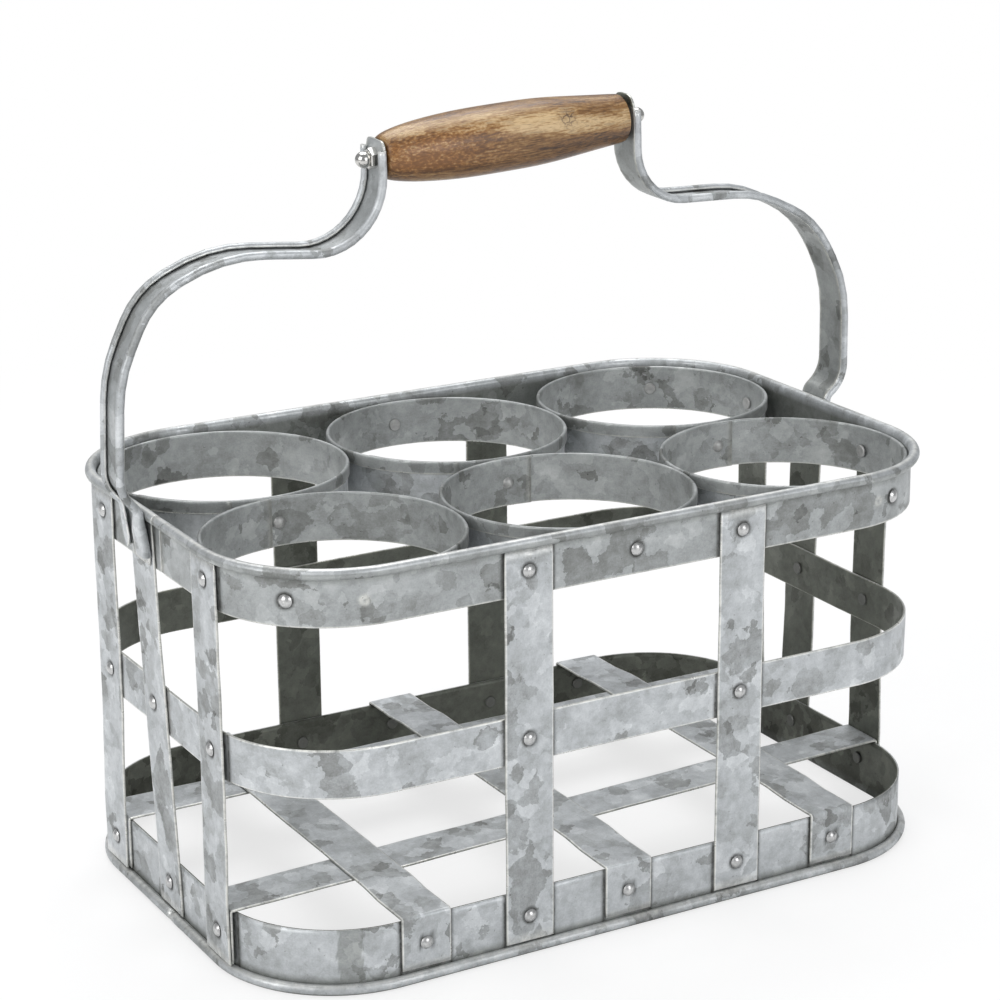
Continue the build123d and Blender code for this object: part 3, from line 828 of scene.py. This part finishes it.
cross_low = 5.2 * mm
dip_inner = 66.0 * mm
dip_outer = 78.0 * mm
dip_radius = 20 * mm
flap_dent = 0.25 * mm
face_y = half_width + sheet + half_sheet
over_base = base_top + half_sheet
over_long = base_top + sheet + half_sheet
corners = (
    (-face_y, cross_low, 0), (-face_y, over_base, fold),
    (-dip_outer, over_base, dip_radius), (-dip_inner, over_long, dip_radius),
    (dip_inner, over_long, dip_radius), (dip_outer, over_base, dip_radius),
    (face_y, over_base, fold), (face_y, cross_low, 0),
)
for name, x in cross_strap_x.items():
    spine = path_spine(route(corners, 3 * mm), lambda a, z: Vector((x, a, z)), Vector((-1, 0, 0)))
    drop = rivet_base_z - cross_low
    spots = [(drop, strap_across / 2), (spine[-1][0] - drop, strap_across / 2)]
    sheet_piece(
        f"floor_cross_strap_{name}", leaf(strap_line(strap_across, 0.0, [0.0]), skin_sheet), spine,
        dents=[(m, w, flap_dent) for m, w in spots], quiet=spots, wave=0.3 * mm, seed=seed,
    )
    seed += 1.0


# Cup rings. Six hoops, a little oval, with the top edge folded outward and down as a hem. Each
# strip's ends overlap: the inner end shows as a step on the inside, and runs under the hem.
cup_x = 97.6 * mm
cup_y = 47.3 * mm
cup_sheet = 0.8 * mm
cup_skin = cup_sheet * 0.92
cup_wall_x = 47.85 * mm
cup_wall_y = 46.35 * mm
cup_high = 157.8 * mm
cup_low = 138.8 * mm
cup_hem = 5.0 * mm
cup_turns = 132
lap_turn = 50.0
lap_left = 4.0
lap_step = 0.88 * mm
hoop_run = 320 * mm
hem_foot = cup_high - cup_hem
hem_line = [(1.5 * cup_sheet, z) for z in (
    hem_foot + cup_sheet / 2, hem_foot + 0.8 * mm, cup_high - 2.5 * mm, cup_high - cup_sheet,
)]
hem_line += arc((cup_sheet, cup_high - cup_sheet), cup_sheet / 2, 0, 180, 8)[1:]
hem_line += fall(cup_sheet / 2, cup_high - cup_sheet, cup_low + cup_sheet / 2)[1:]
for name, x, y, step_angle in (
    ("front_left", -cup_x, -cup_y, 94), ("front_middle", 0.0, -cup_y, 78), ("front_right", cup_x, -cup_y, 82),
    ("rear_left", -cup_x, cup_y, 204), ("rear_middle", 0.0, cup_y, 202), ("rear_right", cup_x, cup_y, 205),
):
    spine = []
    for i in range(cup_turns + 1):
        swept = (360.0 + lap_turn - lap_left) * i / cup_turns
        angle = math.radians(step_angle + swept)
        step_in = lap_step * max(0.0, math.cos(math.radians(min(swept * 90 / lap_turn, 90))))
        out = Vector((math.cos(angle) / cup_wall_x, math.sin(angle) / cup_wall_y, 0)).normalized()
        on_wall = Vector((
            x + (cup_wall_x - cup_sheet) * math.cos(angle), y + (cup_wall_y - cup_sheet) * math.sin(angle), 0,
        ))
        spine.append((i / cup_turns * hoop_run, on_wall - out * step_in, out, Vector((0, 0, 1))))
    # inward: painted shade, with some dirt, on the rings' inner faces
    sheet_piece(
        f"cup_ring_{name}", leaf(hem_line, cup_skin), spine,
        wave=0.12 * mm, seed=seed, bevel=0.2 * mm, inward=0.42,
    )
    seed += 1.0


# Handle arms. One strip each, both long edges rolled outward into hollow curls whose lips stand off
# the web; spot-welded over the middle end strap, where the curls open out, and leaning forward.
stand = Matrix.Translation((0, 7.6 * mm, 140 * mm)) @ Matrix.Rotation(math.radians(2.0), 4, "X")
rod_tilt = math.radians(2.785)
rod_x = 1.55 * mm
rod_height = 142.2 * mm
tab_along = 53.5 * mm
rod_frame = stand @ Matrix.Translation((rod_x, 0, rod_height)) @ Matrix.Rotation(-rod_tilt, 4, "Y")
arm_sheet = 0.9 * mm
arm_roll = 1.65 * mm
curl_sheet = arm_sheet * 0.85
curl_radius = arm_roll - arm_sheet / 2
web_half = 8.8 * mm - arm_roll
web_steps = 12
tongue_half = 6.8 * mm
tongue_steps = 14
roll_stop = 4.2 * mm          # how far below the tongue's shoulder the rolls end
open_below = 26 * mm          # where the curls begin to open out, and over what height
open_over = 14 * mm
front_flange = 6.4 * mm
rear_flange = 4.6 * mm
rear_flange_foot = 1.4 * mm
# the bends from the foot up to the tab, as (x, z, radius) in mm
foot_bends = ((148.85, -0.1, 0), (148.85, 3.5, 6), (151.75, 21.8, 6))
left_bends = ((158.2, 29.4, 12), (156.8, 71.0, 53.6), (144.3, 97.7, 30.1), (117.6, 110.7, 59.9))
right_bends = ((159.2, 27.6, 12.6), (157.7, 67.5, 54.3), (141.0, 95.9, 43.0), (112.9, 109.4, 49.8))


def beside_rod(side, above):
    """A point over the rod on an arm's tab, as (distance out from the middle, height)."""
    x = rod_x + side * tab_along * math.cos(rod_tilt) - above * math.sin(rod_tilt)
    return side * x, rod_height + side * tab_along * math.sin(rod_tilt) + above * math.cos(rod_tilt)


for side, side_name, bends, tab_foot, tab_bend, tongue_top, tongue_corner in (
    (-1, "left", left_bends, -35.9 * mm, 26.7 * mm, 7.5 * mm, 3.0 * mm),
    (1, "right", right_bends, -33.6 * mm, 24.0 * mm, 9.8 * mm, 5.0 * mm),
):
    arm = f"handle_arm_{side_name}"
    arm_shape = bmesh.new()
    corners = [(x * mm, z * mm, r * mm) for x, z, r in foot_bends + bends]
    corners += [(*beside_rod(side, tab_foot), tab_bend), (*beside_rod(side, tongue_top - 0.4 * mm), 0)]
    # travel is upward and then inward, so the outward side is on the right: draw it mirrored
    arm_side = stand.to_3x3() @ Vector((0, 1, 0))
    spine = path_spine(route(corners, 2.5 * mm), lambda a, z: stand @ Vector((side * a, 0, z)), arm_side)
    spine = [(s, o, -u, w) for s, o, u, w in spine]
    length, tip, tip_out, tip_side = spine[-1]
    rise = (tip - spine[-2][1]).normalized()
    shoulder_at = length - tongue_top + roll_stop
    below = [f for f in spine if f[0] < shoulder_at - 0.4 * mm]
    tongue = []
    for k in range(tongue_steps, -1, -1):
        along = length - (length - shoulder_at) * k / tongue_steps
        tongue.append((along, tip + rise * (along - length), tip_out, tip_side))

    def web_section(along):
        """The flat web, stepping in above the rolls and rounded at the top."""
        half = web_half + 0.2 * mm
        if along > shoulder_at - 0.1 * mm:
            over = max(0.0, along - (length - tongue_corner))
            half = tongue_half - tongue_corner + math.sqrt(max(0.0, tongue_corner ** 2 - over ** 2))
        return leaf([(0.0, half - 2 * half * k / web_steps) for k in range(web_steps + 1)], arm_sheet)

    # the web's inner face gets painted shade, with some dirt, full on the tongue; its outer face a little
    sheet_piece(
        arm, web_section, below + tongue, wave=0.15 * mm, seed=seed, bevel=0.15 * mm, into=arm_shape,
        inward=lambda along, across: 1.0 if along > shoulder_at + 1.5 * mm else 0.55, outward_shade_and_dirt=0.25,
    )
    for hand in (-1, 1):
        cut = 0.3 * mm if hand < 0 else 3.5 * mm

        def curl_section(along):
            """The rolled edge, opened out into a squarish channel towards the foot."""
            open_out = min(max((open_below - along) / open_over, 0.0), 1.0)
            open_out = open_out * open_out * (3 - 2 * open_out)
            flange = front_flange
            if hand > 0:
                flange = min(rear_flange, rear_flange_foot + max(0.0, along - cut) * 0.6)
            chamfer = 0.8 * curl_radius
            square = [
                (0.0, -curl_radius), (chamfer, -curl_radius), (curl_radius, -chamfer), (curl_radius, 0.0),
                (curl_radius, chamfer), (chamfer, curl_radius),
            ]
            square += [(chamfer - flange * k / 7, curl_radius + 0.02 * mm * k) for k in range(1, 8)]
            rolled = arc((0, 0), curl_radius, -96, 262, len(square) - 1)
            line = []
            for (u, v), (square_u, square_v) in zip(rolled, square):
                u += (square_u - u) * open_out
                v += (square_v - v) * open_out
                line.append((v + curl_radius, hand * (web_half + u)))
            if hand > 0:
                line.reverse()
            return leaf(line, curl_sheet)

        sheet_piece(
            arm, curl_section, [f for f in below + tongue if cut < f[0] < shoulder_at + 0.2 * mm],
            wave=0.12 * mm, seed=seed, bevel=0.15 * mm, inward=0.0, into=arm_shape,
        )
    finish_piece(arm, arm_shape, "caddy", galvanised)
    seed += 1.0


# Grip. One piece of brown hardwood, turned and left thinner at its left end, with a satin varnish
# over long grain, open pores and a small knot.
wood = Finish(bpy.data.materials.new("turned_hardwood"))
spot = wood.node("ShaderNodeAttribute", {"attribute_name": "wood_place"})["Vector"]
long_way = wood.node("ShaderNodeMapping", None, {"Vector": spot, "Scale": (11.0, 70.0, 70.0)})["Vector"]
pore_way = wood.node("ShaderNodeMapping", None, {"Vector": spot, "Scale": (150.0, 1900.0, 1900.0)})["Vector"]
fleck_way = wood.node("ShaderNodeMapping", None, {"Vector": spot, "Scale": (620.0, 1150.0, 1150.0)})["Vector"]
figure = wood.node("ShaderNodeTexNoise", None, {
    "Vector": long_way, "Scale": 1.7, "Detail": 6.0, "Distortion": 1.2,
})["Fac"]
broad = wood.node("ShaderNodeTexNoise", None, {"Vector": long_way, "Scale": 0.55, "Detail": 2.0})["Fac"]
fibre = wood.node("ShaderNodeTexNoise", None, {"Vector": pore_way, "Scale": 1.0, "Detail": 4.0})["Fac"]
fleck = wood.node("ShaderNodeTexNoise", None, {"Vector": fleck_way, "Scale": 1.0, "Detail": 2.0})["Fac"]
pores = fibre.above(0.60, 0.08)

# the knot, a ragged dark spot on the upper front with cracks through it
knot_place = (22.2 * mm, -10.4 * mm, 6.0 * mm)
knot_ragged = 2.6 * mm
knot_warp = wood.node("ShaderNodeTexNoise", None, {"Vector": spot, "Scale": 420.0, "Detail": 3.0})["Color"]
knot_off = wood.node("ShaderNodeVectorMath", {"operation": "SUBTRACT"}, {0: spot, 1: knot_place})["Vector"]
knot_off = wood.node("ShaderNodeVectorMath", {"operation": "MULTIPLY_ADD"}, {
    0: knot_warp, 1: (knot_ragged,) * 3, 2: knot_off,
})["Vector"]
knot_off = wood.node("ShaderNodeVectorMath", {"operation": "SUBTRACT"}, {
    0: knot_off, 1: (knot_ragged / 2,) * 3,
})["Vector"]
knot_away = wood.node("ShaderNodeVectorMath", {"operation": "LENGTH"}, {0: knot_off})["Value"]
knot = 1.0 - knot_away.above(3.2 * mm, 3.4 * mm)
crack = wood.node("ShaderNodeTexVoronoi", {"feature": "DISTANCE_TO_EDGE"}, {
    "Vector": knot_off, "Scale": 330.0,
})["Distance"]
crack = knot * (1.0 - crack.above(0.07, 0.06))

# round the grip: a painted sheen that winds along it, painted shade on the underside, and a
# speckled reddish stretch at the left end
turned = wood.node("ShaderNodeSeparateXYZ", None, {"Vector": spot})
climb = wood.math("ARCTAN2", turned["Z"], turned["Y"] * -1.0) + (broad - 0.5) * 0.5
# the streak is a painted highlight from the varnish, winding along the grip
sheen_off = abs(climb - 0.62 + turned["X"] * 11.5)
painted_sheen = ((1.0 - sheen_off / 0.42) * 1.7).clamp()
shaded = 1.0 - climb.above(0.05, 0.75)
left_end = 1.0 - turned["X"].above(-14 * mm, 36 * mm)
speckled = left_end * (1.0 - climb.above(0.72, 0.35)) * climb.above(-0.45, 0.35)

wood_tone = 0.48 + (figure - 0.5) * 1.35 + (broad - 0.5) * 0.50 + (fibre - 0.5) * 1.55
wood_tone = wood_tone + (fleck - 0.5) * (0.45 + speckled * 2.0)
wood_tone = (wood_tone + painted_sheen * 0.30 - shaded * 0.20 - speckled * 0.10).clamp()
wood_colour = wood.node("ShaderNodeValToRGB", {"stops": (
    (0.08, (0.045, 0.020, 0.008)),
    (0.38, (0.190, 0.090, 0.027)),
    (0.60, (0.315, 0.180, 0.066)),
    (0.92, (0.600, 0.430, 0.235)),
)}, {"Fac": wood_tone})["Color"]
red_brown = (0.330, 0.130, 0.026)
pore_brown = (0.085, 0.036, 0.014)
knot_brown = (0.060, 0.030, 0.018)
wood_colour = wood.mix(speckled * 0.45, wood_colour, red_brown)
wood_colour = wood.mix(pores * 0.45, wood_colour, pore_brown)
wood_colour = wood.mix(knot * 0.15 + crack * 0.70, wood_colour, knot_brown)
hardwood = wood.surface({
    "Base Color": wood_colour,
    "Roughness": 0.44 + pores * 0.25 - figure * 0.10,
    "Coat Weight": 0.20,
    "Coat Roughness": 0.30,
    "Normal": wood.node("ShaderNodeBump", None, {
        "Strength": 0.40, "Distance": 0.3 * mm, "Height": fibre * 0.6 - pores * 0.8 - crack * 0.8,
    })["Normal"],
})

# (distance along the rod, radius) in mm, from the left end's bore to the right end's
grip_profile = (
    (-52.2, 2.1), (-52.2, 6.6), (-51.9, 7.4), (-51.0, 8.2), (-49.0, 9.0), (-46.0, 9.8), (-40.0, 10.95),
    (-31.0, 11.95), (-22.0, 12.58), (-13.0, 12.85), (-4.0, 12.88), (4.0, 12.86), (12.0, 12.73), (20.0, 12.3),
    (27.0, 11.65), (35.0, 10.85), (42.0, 10.18), (50.2, 9.42), (50.8, 9.2), (51.2, 8.7), (51.2, 2.1),
)
grip_around = 72
grip_uneven = 0.010
grip_shape = bmesh.new()
grain_place = grip_shape.verts.layers.float_vector.new("wood_place")
loops = []
for x, radius in grip_profile:
    loop = []
    for i in range(grip_around):
        turn = 2 * math.pi * i / grip_around
        around = Vector((x / 30, math.cos(turn) * 1.2, math.sin(turn) * 1.2))
        uneven = 1.0 - grip_uneven * max(0.0, noise.noise(around))
        local = Vector((x, radius * uneven * math.cos(turn), radius * uneven * math.sin(turn))) * mm
        vert = grip_shape.verts.new(rod_frame @ local)
        vert[grain_place] = local
        loop.append(vert)
    loops.append(loop)
loops.append(loops[0])
for a, b in zip(loops, loops[1:]):
    for i in range(grip_around):
        j = (i + 1) % grip_around
        grip_shape.faces.new((a[i], a[j], b[j], b[i]))
grip_piece = finish_piece("grip", grip_shape, "grip", hardwood)
rounding = grip_piece.modifiers.new("rounding", "SUBSURF")
rounding.levels = rounding.render_levels = 1


# Rod and dome nuts. A plain steel rod through the grip and both arms, with a dome nut run on to
# each end, all nickel-plated and a little hazy with handling.
nickel = Finish(bpy.data.materials.new("nickel_plate"))
nickel_spot = nickel.node("ShaderNodeTexCoord")["Object"]
nickel_haze = nickel.node("ShaderNodeTexNoise", None, {
    "Vector": nickel_spot, "Scale": 420.0, "Detail": 4.0,
})["Fac"]
nickel_dark = (0.46, 0.45, 0.43)
nickel_light = (0.74, 0.73, 0.70)
nickel_plate = nickel.surface({
    "Base Color": nickel.mix(nickel_haze, nickel_dark, nickel_light),
    "Metallic": 1.0,
    "Roughness": 0.10 + nickel_haze * 0.16,
})
for node in ("grip_rod", "dome_nut_left", "dome_nut_right"):
    nodes[node].data.materials.clear()
    nodes[node].data.materials.append(nickel_plate)


# Rivets. Small plated rivets, each with a low domed head pressed down outside and its tail
# hammered flat inside. The tails get painted shade, with some dirt, like the sheet round them,
# those at the rim less so.
bright = Finish(bpy.data.materials.new("rivet_plate"))
bright_spot = bright.node("ShaderNodeTexCoord")["Object"]
bright_haze = bright.node("ShaderNodeTexNoise", None, {
    "Vector": bright_spot, "Scale": 700.0, "Detail": 4.0,
})["Fac"]
bright_at = bright.node("ShaderNodeSeparateXYZ", None, {"Vector": bright_spot})
# a tail is whatever lies inside the bands' plan
out_x = (abs(bright_at["X"]) - (half_length - corner)).at_least(0.0)
out_y = (abs(bright_at["Y"]) - (half_width - corner)).at_least(0.0)
tail = 1.0 - ((out_x * out_x + out_y * out_y) ** 0.5).above(corner, 0.1 * mm)
at_rim = bright_at["Z"].above(0.14, 0.01)
plate_dark = (0.30, 0.30, 0.30)
plate_light = (0.78, 0.78, 0.77)
# tail_shade_and_dirt: painted shade, with some dirt, on the tails inside
tail_shade_and_dirt = (0.085, 0.088, 0.075)
plated = bright.mix(bright_haze, plate_dark, plate_light)
rivet_plate = bright.surface({
    "Base Color": bright.mix(tail * (0.80 - at_rim * 0.50), plated, tail_shade_and_dirt),
    "Metallic": 0.9,
    "Roughness": 0.20 + bright_haze * 0.22 + tail * 0.2,
    "Normal": bright.node("ShaderNodeBump", None, {
        "Strength": 0.30, "Distance": 0.3 * mm, "Height": bright_haze,
    })["Normal"],
})
for node in (
    "rim_rivets", "ring_rivets", "ring_pair_rivets", "middle_rivets", "base_rivets", "floor_strap_rivets",
):
    nodes[node].data.materials.clear()
    nodes[node].data.materials.append(rivet_plate)
